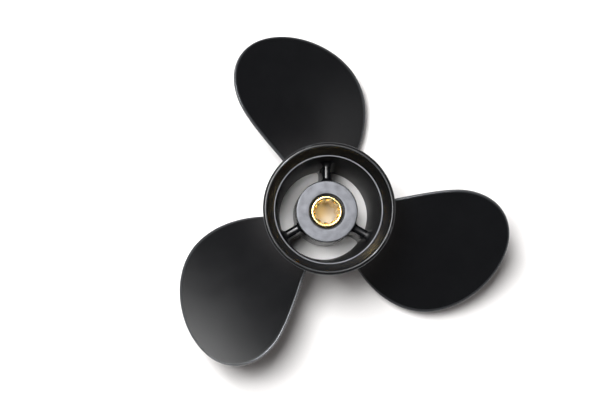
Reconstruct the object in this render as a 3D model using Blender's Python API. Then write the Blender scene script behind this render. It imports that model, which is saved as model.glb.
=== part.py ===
# Three-blade outboard boat propeller with exhaust through its hub.
# The row's +Z runs along the propeller shaft towards the stern, and z = 0 is the front end of the hub.

import math

import bmesh
import bpy
from mathutils import Matrix, Vector
from mathutils.geometry import interpolate_bezier

MM = 0.001
GAP = 0.3 * MM
ALONG_X = Vector((1, 0))
ALONG_Y = Vector((0, 1))

# Propeller size: 10 1/4 in across the blade tips, right-handed, with 12 in of pitch at PITCH_RADIUS.
# The pitch grows by PITCH_GAIN for each unit of radius.
TIP_RADIUS = 130.2 * MM
PITCH = 304.8 * MM
PITCH_RADIUS = 90 * MM
PITCH_GAIN = 1.6
BLADE_COUNT = 3
FIRST_BLADE_ANGLE = math.radians(-10.15)
FIRST_RIB_ANGLE = math.radians(90)

# Outer barrel of the hub, and the flared diffuser ring behind it.
# The ring's lip has a narrow crest and a slope outside it, and the bore ends in a narrow ledge.
HUB_LENGTH = 96 * MM
BARREL_FRONT_RADIUS = 37.5 * MM
BARREL_REAR_RADIUS = 40 * MM
HUB_END_ROUNDING = 1 * MM
RING_START = 74 * MM
FLARE_STEP = 0.4 * MM
FLARE_RUN = 4 * MM
FLARE_ROUNDING = 6 * MM
LIP_RADIUS = 45.05 * MM
LIP_SLOPE = 1 * MM
LIP_ROUNDING = 0.7 * MM
LIP_CREST_RADIUS = 43 * MM
LIP_CREST_WIDTH = 0.9 * MM
CREST_ROUNDING = 0.5 * MM
BORE_FRONT_RADIUS = 32 * MM
BORE_REAR_RADIUS = 36.4 * MM
BORE_REAR = 83.4 * MM
BORE_EDGE_ROUNDING = 0.6 * MM
LEDGE_WIDTH = 0.9 * MM

# Inner hub that carries the rubber bushing.
INNER_FRONT = 8 * MM
INNER_REAR = 61 * MM
INNER_FRONT_RADIUS = 22.4 * MM
INNER_REAR_RADIUS = 21.6 * MM
INNER_BORE_RADIUS = 16.8 * MM
MACHINED_RADIUS = 20.9 * MM
NUT_LIP_THICKNESS = 4.5 * MM
NUT_LIP_HOLE_RADIUS = 12.5 * MM
NUT_LIP_ROUNDING = 0.3 * MM

# Brass sleeve with its ten splines.
SLEEVE_FRONT = 6.5 * MM
SLEEVE_REAR = 60 * MM
SLEEVE_RADIUS = 11 * MM
SPLINE_COUNT = 10
SPLINE_TIP_RADIUS = 7.8 * MM
SPLINE_ROOT_RADIUS = 8.9 * MM
SPLINE_COUNTERSINK_RADIUS = 9.4 * MM
SPLINE_PHASE = math.radians(14)
SPLINE_TOOTH_SHARE_AT_TIP = 0.42
SPLINE_TOOTH_SHARE_AT_ROOT = 0.56
SLEEVE_ROUNDING = 0.4 * MM
BROACH_OVERRUN = 1 * MM

# Rubber bushing, pressed into the inner hub from the front.
BUSHING_FRONT = 10 * MM
BUSHING_ROUNDING = 0.8 * MM

# Ribs between the inner hub and the barrel.
RIB_FRONT = 7 * MM
RIB_REAR = 57.5 * MM
RIB_REAR_THICKNESS = 5.4 * MM
RIB_FRONT_THICKNESS = 8 * MM
RIB_EDGE_RADIUS = 2.4 * MM
RIB_FRONT_ROUNDING = 1 * MM

# Blade outline, seen along the shaft with the blade pointing along +X.
ROOT_RADIUS = 36 * MM
ROOT_DEPTH = 3 * MM
TRAILING_ROOT_ANGLE = math.radians(21)
TRAILING_ROOT_REACH = 27.5 * MM
TRAILING_SHOULDER = Vector((95, 32)) * MM
TRAILING_SHOULDER_REACH = (14.5 * MM, 23 * MM)
TIP = Vector((TIP_RADIUS, 0.5 * MM))
TIP_REACH = (17 * MM, 28.5 * MM)
LEADING_BELLY = Vector((76.5, -57)) * MM
LEADING_BELLY_REACH = (28 * MM, 23.5 * MM)
LEADING_ROOT_ANGLE = math.radians(-47.5)
LEADING_ROOT_REACH = 15 * MM
LEADING_ROOT_DIRECTION = math.radians(-57)
SPINE_END = Vector((112, -4)) * MM

# Blade height and thickness.
# The trailing edge is cut square and the leading edge is round: each has its squareness, 2 for a half
# round and more for a squarer edge.
BLADE_HEIGHT = 45.8 * MM
TIP_RAKE = 6.3 * MM
ROOT_THICKNESS = 10 * MM
TIP_THICKNESS = 4 * MM
SECTION_FULLNESS = 0.8
EDGE_THICKNESS = 2.4 * MM
EDGE_DEPTH = 0.8 * MM
TRAILING_SQUARENESS = 6
LEADING_SQUARENESS = 2.2
TIP_SQUARENESS = 3.5
ROOT_FILLET = 5 * MM

# Plugs that trim ribs and blades reach this far beyond what they trim.
PLUG_MARGIN = 5 * MM
CORE_MARGIN = 1 * MM

# Fineness of the faceted solids.
HUB_SEGMENTS = 72
SLEEVE_SEGMENTS = 60
CORNER_STEPS = 3
CURVE_POINTS = 120
BLADE_ROWS = 18
FILLET_ROWS = 4
BLADE_COLUMNS = 6
EDGE_POINTS = 3
ROW_START = 1 * MM
SHARP_ANGLE = math.radians(32)

# The corners of a blade's faceted outline lie this far outside its curve, so that the sides run along it.
FACET_ALLOWANCE = 0.2 * MM


def material(name, colour, roughness, metallic):
    """A plain surface of one colour."""
    made = bpy.data.materials.new(name)
    made.use_nodes = True
    shader = made.node_tree.nodes["Principled BSDF"]
    shader.inputs["Base Color"].default_value = (*colour, 1)
    shader.inputs["Roughness"].default_value = roughness
    shader.inputs["Metallic"].default_value = metallic
    return made


def add_object(name, mesh_maker, finish):
    """One named object from a bmesh, smooth except at its real edges."""
    bmesh.ops.recalc_face_normals(mesh_maker, faces=mesh_maker.faces)
    mesh = bpy.data.meshes.new(name)
    mesh_maker.to_mesh(mesh)
    mesh_maker.free()
    mesh.shade_smooth()
    mesh.set_sharp_from_angle(angle=SHARP_ANGLE)
    mesh.materials.append(finish)
    made = bpy.data.objects.new(name, mesh)
    bpy.context.scene.collection.objects.link(made)
    return made


def add_cutter(name, mesh_maker):
    """A solid that only shapes others."""
    cutter = add_object(name, mesh_maker, bpy.data.materials["casting_paint"])
    cutter.hide_render = True
    cutter.display_type = "WIRE"
    return cutter


def cut(target, cutter, operation="DIFFERENCE"):
    """Boolean that takes the cutter away from the target, or keeps only what lies in it."""
    boolean = target.modifiers.new(cutter.name, "BOOLEAN")
    boolean.operation = operation
    boolean.object = cutter


def between(start, end, share):
    return start + (end - start) * share


def rounded(corners, steps=CORNER_STEPS):
    """Points of a closed outline whose corners (x, y, radius) are rounded by arcs."""
    points = []
    for i, (x, y, radius) in enumerate(corners):
        corner = Vector((x, y))
        if radius == 0:
            points.append(corner)
            continue
        before = (Vector(corners[i - 1][:2]) - corner).normalized()
        after = (Vector(corners[(i + 1) % len(corners)][:2]) - corner).normalized()
        half_angle = before.angle(after) / 2
        centre = corner + (before + after).normalized() * radius / math.sin(half_angle)
        start = corner + before * radius / math.tan(half_angle) - centre
        turn = math.copysign(math.pi - 2 * half_angle, -before.cross(after))
        for k in range(steps + 1):
            points.append(centre + Matrix.Rotation(turn * k / steps, 2) @ start)
    return points


def turned(outline, segments=HUB_SEGMENTS):
    """A solid turned about the shaft from a closed outline of (radius, z) points."""
    maker = bmesh.new()
    ring = [maker.verts.new((radius, 0, z)) for radius, z in outline]
    for i, vert in enumerate(ring):
        maker.edges.new((vert, ring[(i + 1) % len(ring)]))
    bmesh.ops.spin(
        maker,
        geom=maker.verts[:] + maker.edges[:],
        cent=(0, 0, 0),
        axis=(0, 0, 1),
        angle=math.tau,
        steps=segments,
        use_merge=True,
    )
    bmesh.ops.remove_doubles(maker, verts=maker.verts, dist=0.001 * MM)
    return maker


def barrel_radius(z):
    """Outer radius of the barrel, which widens slightly towards the rear."""
    return between(BARREL_FRONT_RADIUS, BARREL_REAR_RADIUS, z / RING_START)


def bore_radius(z):
    """Inner radius of the exhaust passage, with the casting's draft."""
    return between(BORE_FRONT_RADIUS, BORE_REAR_RADIUS, z / BORE_REAR)


def inner_hub_radius(z):
    """Outer radius of the inner hub, which narrows towards the rear."""
    share = (z - INNER_FRONT) / (INNER_REAR - INNER_FRONT)
    return between(INNER_FRONT_RADIUS, INNER_REAR_RADIUS, share)


def make_barrel(finish):
    outline = rounded([
        (bore_radius(0), 0, HUB_END_ROUNDING),
        (barrel_radius(0), 0, HUB_END_ROUNDING),
        (barrel_radius(RING_START), RING_START, 0),
        (bore_radius(RING_START), RING_START, 0),
    ])
    return add_object("hub_barrel", turned(outline), finish)


def make_diffuser_ring(finish):
    start = RING_START + GAP
    outline = rounded([
        (bore_radius(start), start, 0),
        (barrel_radius(start), start, 0),
        (barrel_radius(start) + FLARE_STEP, start + FLARE_RUN, FLARE_ROUNDING),
        (LIP_RADIUS, HUB_LENGTH - LIP_SLOPE, LIP_ROUNDING),
        (LIP_CREST_RADIUS + LIP_CREST_WIDTH / 2, HUB_LENGTH, CREST_ROUNDING),
        (LIP_CREST_RADIUS - LIP_CREST_WIDTH / 2, HUB_LENGTH, CREST_ROUNDING),
        (BORE_REAR_RADIUS + LEDGE_WIDTH, BORE_REAR, 0),
        (BORE_REAR_RADIUS, BORE_REAR, BORE_EDGE_ROUNDING),
    ])
    return add_object("diffuser_ring", turned(outline), finish)


def make_inner_hub(finish):
    lip_front = INNER_REAR - NUT_LIP_THICKNESS
    outline = rounded([
        (INNER_BORE_RADIUS, INNER_FRONT, BUSHING_ROUNDING),
        (INNER_FRONT_RADIUS, INNER_FRONT, HUB_END_ROUNDING),
        (INNER_REAR_RADIUS, INNER_REAR, INNER_REAR_RADIUS - MACHINED_RADIUS),
        (NUT_LIP_HOLE_RADIUS, INNER_REAR, NUT_LIP_ROUNDING),
        (NUT_LIP_HOLE_RADIUS, lip_front, 0),
        (INNER_BORE_RADIUS, lip_front, 0),
    ])
    return add_object("inner_hub", turned(outline), finish)


def make_bushing(finish):
    rear = INNER_REAR - NUT_LIP_THICKNESS - GAP
    outline = rounded([
        (SLEEVE_RADIUS + GAP, BUSHING_FRONT, 0),
        (INNER_BORE_RADIUS - GAP, BUSHING_FRONT, BUSHING_ROUNDING),
        (INNER_BORE_RADIUS - GAP, rear, 0),
        (SLEEVE_RADIUS + GAP, rear, 0),
    ])
    return add_object("rubber_bushing", turned(outline), finish)


def broach():
    """The toothed bar that cuts the splines, as a prism longer than the sleeve."""
    maker = bmesh.new()
    pitch_angle = math.tau / SPLINE_COUNT
    bar_core = SPLINE_TIP_RADIUS - 0.5 * MM
    points = []
    for k in range(SPLINE_COUNT):
        middle = SPLINE_PHASE + (k + 0.5) * pitch_angle
        half_at_tip = (1 - SPLINE_TOOTH_SHARE_AT_TIP) * pitch_angle / 2
        half_at_root = (1 - SPLINE_TOOTH_SHARE_AT_ROOT) * pitch_angle / 2
        for radius, angle in (
            (bar_core, -half_at_tip),
            (SPLINE_ROOT_RADIUS, -half_at_root),
            (SPLINE_ROOT_RADIUS, half_at_root),
            (bar_core, half_at_tip),
        ):
            points.append((radius * math.cos(middle + angle), radius * math.sin(middle + angle)))
    front = SLEEVE_FRONT - BROACH_OVERRUN
    face = maker.faces.new([maker.verts.new((x, y, front)) for x, y in points])
    pulled = bmesh.ops.extrude_face_region(maker, geom=[face])
    raised = [part for part in pulled["geom"] if isinstance(part, bmesh.types.BMVert)]
    bmesh.ops.translate(maker, verts=raised, vec=(0, 0, SLEEVE_REAR + BROACH_OVERRUN - front))
    return maker


def make_sleeve(finish):
    countersink = SPLINE_COUNTERSINK_RADIUS - SPLINE_TIP_RADIUS
    outline = rounded([
        (SPLINE_TIP_RADIUS, SLEEVE_FRONT + countersink, 0),
        (SPLINE_COUNTERSINK_RADIUS, SLEEVE_FRONT, 0),
        (SLEEVE_RADIUS, SLEEVE_FRONT, SLEEVE_ROUNDING),
        (SLEEVE_RADIUS, SLEEVE_REAR, SLEEVE_ROUNDING),
        (SPLINE_COUNTERSINK_RADIUS, SLEEVE_REAR, 0),
        (SPLINE_TIP_RADIUS, SLEEVE_REAR - countersink, 0),
    ])
    sleeve = add_object("splined_sleeve", turned(outline, SLEEVE_SEGMENTS), finish)
    cut(sleeve, add_cutter("spline_broach", broach()))
    return sleeve


def passage_core():
    """The space between the inner hub and the barrel's bore, less the gap on each side."""
    front = RIB_FRONT - CORE_MARGIN
    rear = RIB_REAR + CORE_MARGIN
    return turned([
        Vector((inner_hub_radius(front) + GAP, front)),
        Vector((bore_radius(front) - GAP, front)),
        Vector((bore_radius(rear) - GAP, rear)),
        Vector((inner_hub_radius(rear) + GAP, rear)),
    ])


def rib_blank():
    """A drafted plate along +X with a rounded rear edge, longer than the rib it becomes."""
    half_front = RIB_FRONT_THICKNESS / 2
    half_rear = RIB_REAR_THICKNESS / 2
    section = rounded([
        (-half_front, RIB_FRONT, RIB_FRONT_ROUNDING),
        (half_front, RIB_FRONT, RIB_FRONT_ROUNDING),
        (half_rear, RIB_REAR, RIB_EDGE_RADIUS),
        (-half_rear, RIB_REAR, RIB_EDGE_RADIUS),
    ])
    maker = bmesh.new()
    start = INNER_BORE_RADIUS
    face = maker.faces.new([maker.verts.new((start, y, z)) for y, z in section])
    pulled = bmesh.ops.extrude_face_region(maker, geom=[face])
    moved = [part for part in pulled["geom"] if isinstance(part, bmesh.types.BMVert)]
    bmesh.ops.translate(maker, verts=moved, vec=(BARREL_REAR_RADIUS - start, 0, 0))
    return maker


def make_ribs(finish):
    core = add_cutter("passage_core", passage_core())
    for k in range(BLADE_COUNT):
        rib = add_object(f"rib_{k + 1}", rib_blank(), finish)
        rib.rotation_euler.z = FIRST_RIB_ANGLE + k * math.tau / BLADE_COUNT
        cut(rib, core, "INTERSECT")


def polar(radius, angle):
    return Vector((radius * math.cos(angle), radius * math.sin(angle)))


def graded(share):
    """Share of the way from root to tip, in steps that shorten towards the tip."""
    return share * (1.5 - 0.5 * share)


def graded_steps(points, count):
    """Points along a polyline, at distances that shorten towards its end."""
    lengths = [0]
    for a, b in zip(points, points[1:]):
        lengths.append(lengths[-1] + (b - a).length)
    result = []
    k = 0
    for i in range(count + 1):
        wanted = lengths[-1] * graded(i / count)
        while k < len(points) - 2 and lengths[k + 1] < wanted:
            k += 1
        share = (wanted - lengths[k]) / (lengths[k + 1] - lengths[k])
        result.append(between(points[k], points[k + 1], share))
    return result


def curve_through(knots):
    """Fine polyline along cubic curves, from knots (point, handle before, handle after)."""
    points = []
    for (start, _, leaving), (end, arriving, _) in zip(knots, knots[1:]):
        run = interpolate_bezier(start, leaving, arriving, end, CURVE_POINTS)
        points += [p.to_2d() for p in run][1 if points else 0:]
    return points


def trailing_edge():
    """From the root to the tip."""
    root = polar(ROOT_RADIUS, TRAILING_ROOT_ANGLE)
    before, after = TRAILING_SHOULDER_REACH
    return curve_through([
        (root, None, root + polar(TRAILING_ROOT_REACH, TRAILING_ROOT_ANGLE)),
        (TRAILING_SHOULDER, TRAILING_SHOULDER - ALONG_X * before, TRAILING_SHOULDER + ALONG_X * after),
        (TIP, TIP + ALONG_Y * TIP_REACH[0], None),
    ])


def leading_edge():
    """From the root to the tip."""
    root = polar(ROOT_RADIUS, LEADING_ROOT_ANGLE)
    before, after = LEADING_BELLY_REACH
    return curve_through([
        (root, None, root + polar(LEADING_ROOT_REACH, LEADING_ROOT_DIRECTION)),
        (LEADING_BELLY, LEADING_BELLY - ALONG_X * after, LEADING_BELLY + ALONG_X * before),
        (TIP, TIP - ALONG_Y * TIP_REACH[1], None),
    ])


def blade_face(point):
    """The pressure face, a screw surface with a little rake, at a point of the outline's plane."""
    radius = point.length
    angle = math.atan2(point.y, point.x)
    span = max(radius - BARREL_REAR_RADIUS, 0) / (TIP_RADIUS - BARREL_REAR_RADIUS)
    pitch = PITCH + PITCH_GAIN * (radius - PITCH_RADIUS)
    return Vector((*point, BLADE_HEIGHT + pitch * angle / math.tau + TIP_RAKE * span ** 2))


def face_normal(point):
    """Unit normal of the pressure face, pointing towards the stern."""
    step = 0.1 * MM
    along_x = blade_face(point + ALONG_X * step) - blade_face(point - ALONG_X * step)
    along_y = blade_face(point + ALONG_Y * step) - blade_face(point - ALONG_Y * step)
    return along_x.cross(along_y).normalized()


def inset(curve):
    """A blade edge's curve moved inwards by what the closing of the edge adds outside it."""
    points = []
    for i, point in enumerate(curve):
        along = (curve[min(i + 1, len(curve) - 1)] - curve[max(i - 1, 0)]).normalized()
        outwards = Vector((along.y, -along.x))
        if i == len(curve) - 1:
            outwards = ALONG_X
        elif outwards.dot(point - SPINE_END / 2) < 0:
            outwards = -outwards
        below = -face_normal(point).to_2d().dot(outwards) * EDGE_THICKNESS / 2
        added = below + math.hypot(below, EDGE_DEPTH) - FACET_ALLOWANCE
        points.append(point - outwards * added)
    return points


def barrel_beside(point):
    """The barrel's outer radius at the height where the blade's face passes this point."""
    return barrel_radius(blade_face(point).z)


def fillet_rise(point):
    """How far the root fillet lifts a face at this distance from the barrel."""
    reach = min(max(point.length - barrel_beside(point), 0), ROOT_FILLET)
    return ROOT_FILLET - math.sqrt(ROOT_FILLET ** 2 - (ROOT_FILLET - reach) ** 2)


def root_columns(trailing, leading, distance):
    """Outline-plane points across the blade's root, all at one distance from the barrel."""
    radius = BARREL_REAR_RADIUS + distance
    first = next(p for p in trailing if p.length >= radius)
    last = next(p for p in leading if p.length >= radius)
    start, end = math.atan2(first.y, first.x), math.atan2(last.y, last.x)
    columns = []
    for k in range(2 * BLADE_COLUMNS + 1):
        angle = between(start, end, k / (2 * BLADE_COLUMNS))
        columns.append(polar(barrel_beside(polar(radius, angle)) + distance, angle))
    return columns


def outer_columns(trailing, spine, leading):
    """Outline-plane points across the blade, from the trailing edge over its spine to the leading edge."""
    columns = []
    for start, end in ((trailing, spine), (spine, leading)):
        start_angle, end_angle = math.atan2(start.y, start.x), math.atan2(end.y, end.x)
        for k in range(BLADE_COLUMNS):
            share = k / BLADE_COLUMNS
            angle = between(start_angle, end_angle, share)
            columns.append(polar(between(start.length, end.length, share), angle))
    return columns + [leading]


def blade_section(columns, along):
    """Closed loop around the blade through one row of points, at a share of the way from root to tip."""
    upper, lower = [], []
    last = len(columns) - 1
    for k, point in enumerate(columns):
        fullness = 0 if k in (0, last) else math.sin(math.pi * k / last) ** SECTION_FULLNESS
        span = (point.length - BARREL_REAR_RADIUS) / (TIP_RADIUS - BARREL_REAR_RADIUS)
        thickest = between(ROOT_THICKNESS, TIP_THICKNESS, min(max(span, 0), 1))
        thickness = between(EDGE_THICKNESS, thickest, fullness)
        normal = face_normal(point)
        rise = fillet_rise(point)
        upper.append(blade_face(point) + normal * rise)
        lower.append(blade_face(point) - normal * (thickness + rise))
    at_leading = (blade_face(columns[-1]) - blade_face(columns[-2])).normalized()
    at_trailing = (blade_face(columns[0]) - blade_face(columns[1])).normalized()
    leading_squareness = between(LEADING_SQUARENESS, TIP_SQUARENESS, along ** 4)
    trailing_squareness = between(TRAILING_SQUARENESS, TIP_SQUARENESS, along ** 4)
    leading = edge_closing(upper[-1], lower[-1], at_leading, leading_squareness)
    trailing = edge_closing(lower[0], upper[0], at_trailing, trailing_squareness)
    return upper + leading + lower[::-1] + trailing


def edge_closing(start, end, outwards, squareness):
    """Points that close an edge from start to end, without these two."""
    centre = (start + end) / 2
    half = (start - end) / 2
    points = []
    for k in range(1, EDGE_POINTS + 1):
        turn = math.pi * k / (EDGE_POINTS + 1)
        across = math.copysign(abs(math.cos(turn)) ** (2 / squareness), math.cos(turn))
        out = math.sin(turn) ** (2 / squareness)
        points.append(centre + half * across + outwards * EDGE_DEPTH * out)
    return points


def blade_loops():
    """Closed loops around a blade from inside the barrel, up the root fillet, to the tip."""
    trailing, leading = inset(trailing_edge()), inset(leading_edge())
    rows = [root_columns(trailing, leading, -ROOT_DEPTH)]
    for k in range(FILLET_ROWS + 1):
        distance = ROOT_FILLET * (1 - math.cos(math.pi / 2 * k / FILLET_ROWS))
        rows.append(root_columns(trailing, leading, distance))
    loops = [blade_section(columns, 0) for columns in rows]
    base = rows[-1]
    outer_trailing = [base[0]] + [p for p in trailing if p.length > base[0].length + ROW_START]
    outer_leading = [base[-1]] + [p for p in leading if p.length > base[-1].length + ROW_START]
    trailing_steps = graded_steps(outer_trailing, BLADE_ROWS)
    leading_steps = graded_steps(outer_leading, BLADE_ROWS)
    for k in range(1, BLADE_ROWS + 1):
        share = k / BLADE_ROWS
        spine = between(base[BLADE_COLUMNS], SPINE_END, graded(share))
        loops.append(blade_section(outer_columns(trailing_steps[k], spine, leading_steps[k]), share))
    return loops


def blade_blank():
    """A blade along +X whose root runs on into the barrel."""
    maker = bmesh.new()
    rows = [[maker.verts.new(point) for point in loop] for loop in blade_loops()]
    maker.faces.new(rows[0])
    for row, following in zip(rows, rows[1:]):
        for i, vert in enumerate(row):
            maker.faces.new((row[i - 1], vert, following[i], following[i - 1]))
    bmesh.ops.remove_doubles(maker, verts=rows[-1], dist=0.01 * MM)
    return maker


def barrel_core():
    """The barrel's outside plus the gap, as a solid plug that stands out at both ends."""
    front = -PLUG_MARGIN
    rear = RING_START + PLUG_MARGIN
    maker = bmesh.new()
    bmesh.ops.create_cone(
        maker,
        cap_ends=True,
        segments=HUB_SEGMENTS,
        radius1=barrel_radius(front) + GAP,
        radius2=barrel_radius(rear) + GAP,
        depth=rear - front,
    )
    bmesh.ops.translate(maker, verts=maker.verts, vec=(0, 0, (front + rear) / 2))
    return maker


def make_blades(finish):
    core = add_cutter("barrel_core", barrel_core())
    for k in range(BLADE_COUNT):
        blade = add_object(f"blade_{k + 1}", blade_blank(), finish)
        blade.rotation_euler.z = FIRST_BLADE_ANGLE + k * math.tau / BLADE_COUNT
        cut(blade, core)


def main():
    for old in list(bpy.data.objects):
        bpy.data.objects.remove(old)
    paint = material("casting_paint", (0.012, 0.012, 0.013), 0.38, 0.0)
    rubber = material("black_rubber", (0.01, 0.01, 0.01), 0.7, 0.0)
    brass = material("machined_brass", (0.72, 0.5, 0.16), 0.25, 1.0)
    make_barrel(paint)
    make_diffuser_ring(paint)
    make_inner_hub(paint)
    make_ribs(paint)
    make_blades(paint)
    make_bushing(rubber)
    make_sleeve(brass)


main()
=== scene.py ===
# %% [markdown]
# # An outboard boat propeller
# The object is the propeller of a small outboard motor: one aluminium casting, painted satin black,
# with a rubber bushing and a splined brass sleeve in its middle. In the photograph it stands on the front
# end of its hub, and the camera looks down on its rear end.
#
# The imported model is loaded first. Its solids stay where they are and serve as the measuring frame.
# The lesson reads the main sizes off them, models the visible skin again with a fine mesh, and then
# gives each surface its finish.

# %% Load the frame
import math

import bmesh
import bpy
from mathutils import Matrix, Vector
from mathutils.geometry import interpolate_bezier


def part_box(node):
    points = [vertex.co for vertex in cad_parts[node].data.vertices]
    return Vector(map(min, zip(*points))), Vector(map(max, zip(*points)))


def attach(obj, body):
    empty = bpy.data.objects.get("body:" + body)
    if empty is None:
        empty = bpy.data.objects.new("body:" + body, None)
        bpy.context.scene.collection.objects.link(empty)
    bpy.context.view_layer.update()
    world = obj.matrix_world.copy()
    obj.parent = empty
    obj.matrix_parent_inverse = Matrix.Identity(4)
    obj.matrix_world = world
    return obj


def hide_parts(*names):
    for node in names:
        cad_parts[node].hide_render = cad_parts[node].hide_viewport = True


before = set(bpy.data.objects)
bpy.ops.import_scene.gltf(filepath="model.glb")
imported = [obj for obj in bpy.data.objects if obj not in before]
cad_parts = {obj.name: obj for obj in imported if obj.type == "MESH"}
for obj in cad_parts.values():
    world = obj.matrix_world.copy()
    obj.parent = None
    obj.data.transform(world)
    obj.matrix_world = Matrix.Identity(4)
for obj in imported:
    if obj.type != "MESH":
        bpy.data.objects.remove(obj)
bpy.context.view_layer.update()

print("frame loaded, solids:", sorted(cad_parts))

# %% [markdown]
# ## Sizes
# Blender counts in metres, and a maker thinks in millimetres, so every size is written as a number
# times MM. The outer sizes come from the boxes of the frame's solids. What a box can't say, such as the
# draft of a bore or the sweep of a blade, is a named value of its own. It is the same as in the solids,
# apart from a few roundings that this finer mesh can show better.

# %% Sizes of the hub
MM = 0.001

barrel_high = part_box("hub_barrel")[1]
inner_low, inner_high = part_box("inner_hub")

HUB_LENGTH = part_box("diffuser_ring")[1].z
LIP_RADIUS = 45.05 * MM
LIP_CREST_RADIUS = 43 * MM
LIP_CREST_WIDTH = 1.2 * MM
LIP_SLOPE = 1 * MM
RING_START = barrel_high.z
BARREL_FRONT_RADIUS = 37.5 * MM
BARREL_REAR_RADIUS = barrel_high.x
BORE_FRONT_RADIUS = 32 * MM
BORE_REAR_RADIUS = 36.4 * MM
BORE_REAR = 83.4 * MM
LEDGE_WIDTH = 0.9 * MM

INNER_FRONT = inner_low.z
INNER_REAR = inner_high.z
INNER_FRONT_RADIUS = inner_high.x
INNER_REAR_RADIUS = 21.6 * MM
MACHINED_RADIUS = 20.9 * MM
INNER_BORE_RADIUS = 16.8 * MM
NUT_LIP_THICKNESS = 4.5 * MM
NUT_LIP_HOLE_RADIUS = 12.5 * MM

print(f"hub {HUB_LENGTH / MM:.1f} mm long, lip {2 * LIP_RADIUS / MM:.1f} mm across")

# %% [markdown]
# ## Outlines with rounded corners
# A casting has no knife edges: the mould's corners are rounded so that the metal can flow. Blender could
# round them afterwards with a Bevel modifier, but a turned part is simpler to round in its outline,
# where each corner can have its own radius. The function below replaces a corner by an arc that touches
# both of its sides.

# %% Rounded outlines
CORNER_STEPS = 7
LONGEST_STEP = 2.5 * MM


def between(start, end, share):
    return start + (end - start) * share


def polar(radius, angle):
    return Vector((radius * math.cos(angle), radius * math.sin(angle)))


def rounded(corners, steps=CORNER_STEPS):
    """Points of a closed outline whose corners (x, y, radius) are rounded by arcs."""
    points = []
    for i, (x, y, radius) in enumerate(corners):
        corner = Vector((x, y))
        if radius == 0:
            points.append(corner)
            continue
        before = (Vector(corners[i - 1][:2]) - corner).normalized()
        after = (Vector(corners[(i + 1) % len(corners)][:2]) - corner).normalized()
        half_angle = before.angle(after) / 2
        centre = corner + (before + after).normalized() * radius / math.sin(half_angle)
        start = corner + before * radius / math.tan(half_angle) - centre
        turn = math.copysign(math.pi - 2 * half_angle, -before.cross(after))
        for k in range(steps + 1):
            points.append(centre + Matrix.Rotation(turn * k / steps, 2) @ start)
    return points


def stepped(outline, longest=LONGEST_STEP):
    """The same closed outline with long sides divided, so that smooth shading stays local."""
    points = []
    for start, end in zip(outline, outline[1:] + outline[:1]):
        count = max(1, math.ceil((end - start).length / longest))
        points += [between(start, end, k / count) for k in range(count)]
    return points


print("a rounded corner has", CORNER_STEPS + 1, "points")

# %% [markdown]
# ## Lofting
# Hub, ribs and blades are all made the same way: closed loops of points are laid one behind the other
# and joined by four-sided faces. A turned part is a loft too, whose loops are copies of its outline
# swung round the shaft, and whose last loop joins the first.

# %% Loft and turned solids
HUB_SEGMENTS = 192
SHARP_ANGLE = math.radians(30)


def loft(loops, closed=False):
    """A mesh of four-sided faces between loops of points, and the rows of its vertices."""
    maker = bmesh.new()
    rows = [[maker.verts.new(point) for point in loop] for loop in loops]
    following_rows = rows[1:] + rows[:1] if closed else rows[1:]
    for row, following in zip(rows, following_rows):
        for i, vert in enumerate(row):
            maker.faces.new((row[i - 1], vert, following[i], following[i - 1]))
    return maker, rows


def turned(outline, segments=HUB_SEGMENTS):
    """A ring-shaped solid from a closed outline of (radius, height) points."""
    loops = []
    for k in range(segments):
        turn = math.tau * k / segments
        loops.append([(r * math.cos(turn), r * math.sin(turn), z) for r, z in outline])
    return loft(loops, closed=True)[0]


def add_piece(name, maker):
    """An object from a bmesh, smooth except where its faces meet at more than the sharp angle."""
    bmesh.ops.recalc_face_normals(maker, faces=maker.faces)
    mesh = bpy.data.meshes.new(name)
    maker.to_mesh(mesh)
    maker.free()
    mesh.shade_smooth()
    mesh.set_sharp_from_angle(angle=SHARP_ANGLE)
    piece = bpy.data.objects.new(name, mesh)
    bpy.context.scene.collection.objects.link(piece)
    return piece


print(f"turned hub: {HUB_SEGMENTS} steps of {math.tau * LIP_RADIUS / HUB_SEGMENTS / MM:.1f} mm at the lip")

# %% [markdown]
# ## The hub's shell
# Exhaust gas leaves through the middle of the propeller, so the hub is a pipe: a barrel with a slightly
# tapered bore, and behind it the diffuser ring, which flares out to keep water from being drawn in.
# Both are one turned outline here. The bore ends in a rounded edge and a narrow ledge, where the tool
# that faced the casting cut through the paint. The flare runs from there to the lip. The bare ledge and
# the lip's narrow crest catch the light as two bright lines.

# %% Barrel with its diffuser ring
HUB_END_ROUNDING = 1 * MM
RING_START_ROUNDING = 30 * MM
FLARE_STEP = 0.4 * MM
FLARE_RUN = 4 * MM
FLARE_ROUNDING = 6 * MM
LIP_ROUNDING = 0.7 * MM
OUTER_CREST_ROUNDING = 1.2 * MM
INNER_CREST_ROUNDING = 0.9 * MM
LEDGE_ROUNDING = 0.2 * MM
BORE_EDGE_ROUNDING = 0.35 * MM


def barrel_radius(z):
    """Outer radius of the barrel, which widens slightly towards the rear."""
    return between(BARREL_FRONT_RADIUS, BARREL_REAR_RADIUS, z / RING_START)


def bore_radius(z):
    """Inner radius of the exhaust passage, with the casting's draft."""
    return between(BORE_FRONT_RADIUS, BORE_REAR_RADIUS, z / BORE_REAR)


def inner_hub_radius(z):
    """Outer radius of the inner hub, which narrows towards the rear."""
    share = (z - INNER_FRONT) / (INNER_REAR - INNER_FRONT)
    return between(INNER_FRONT_RADIUS, INNER_REAR_RADIUS, share)


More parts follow.
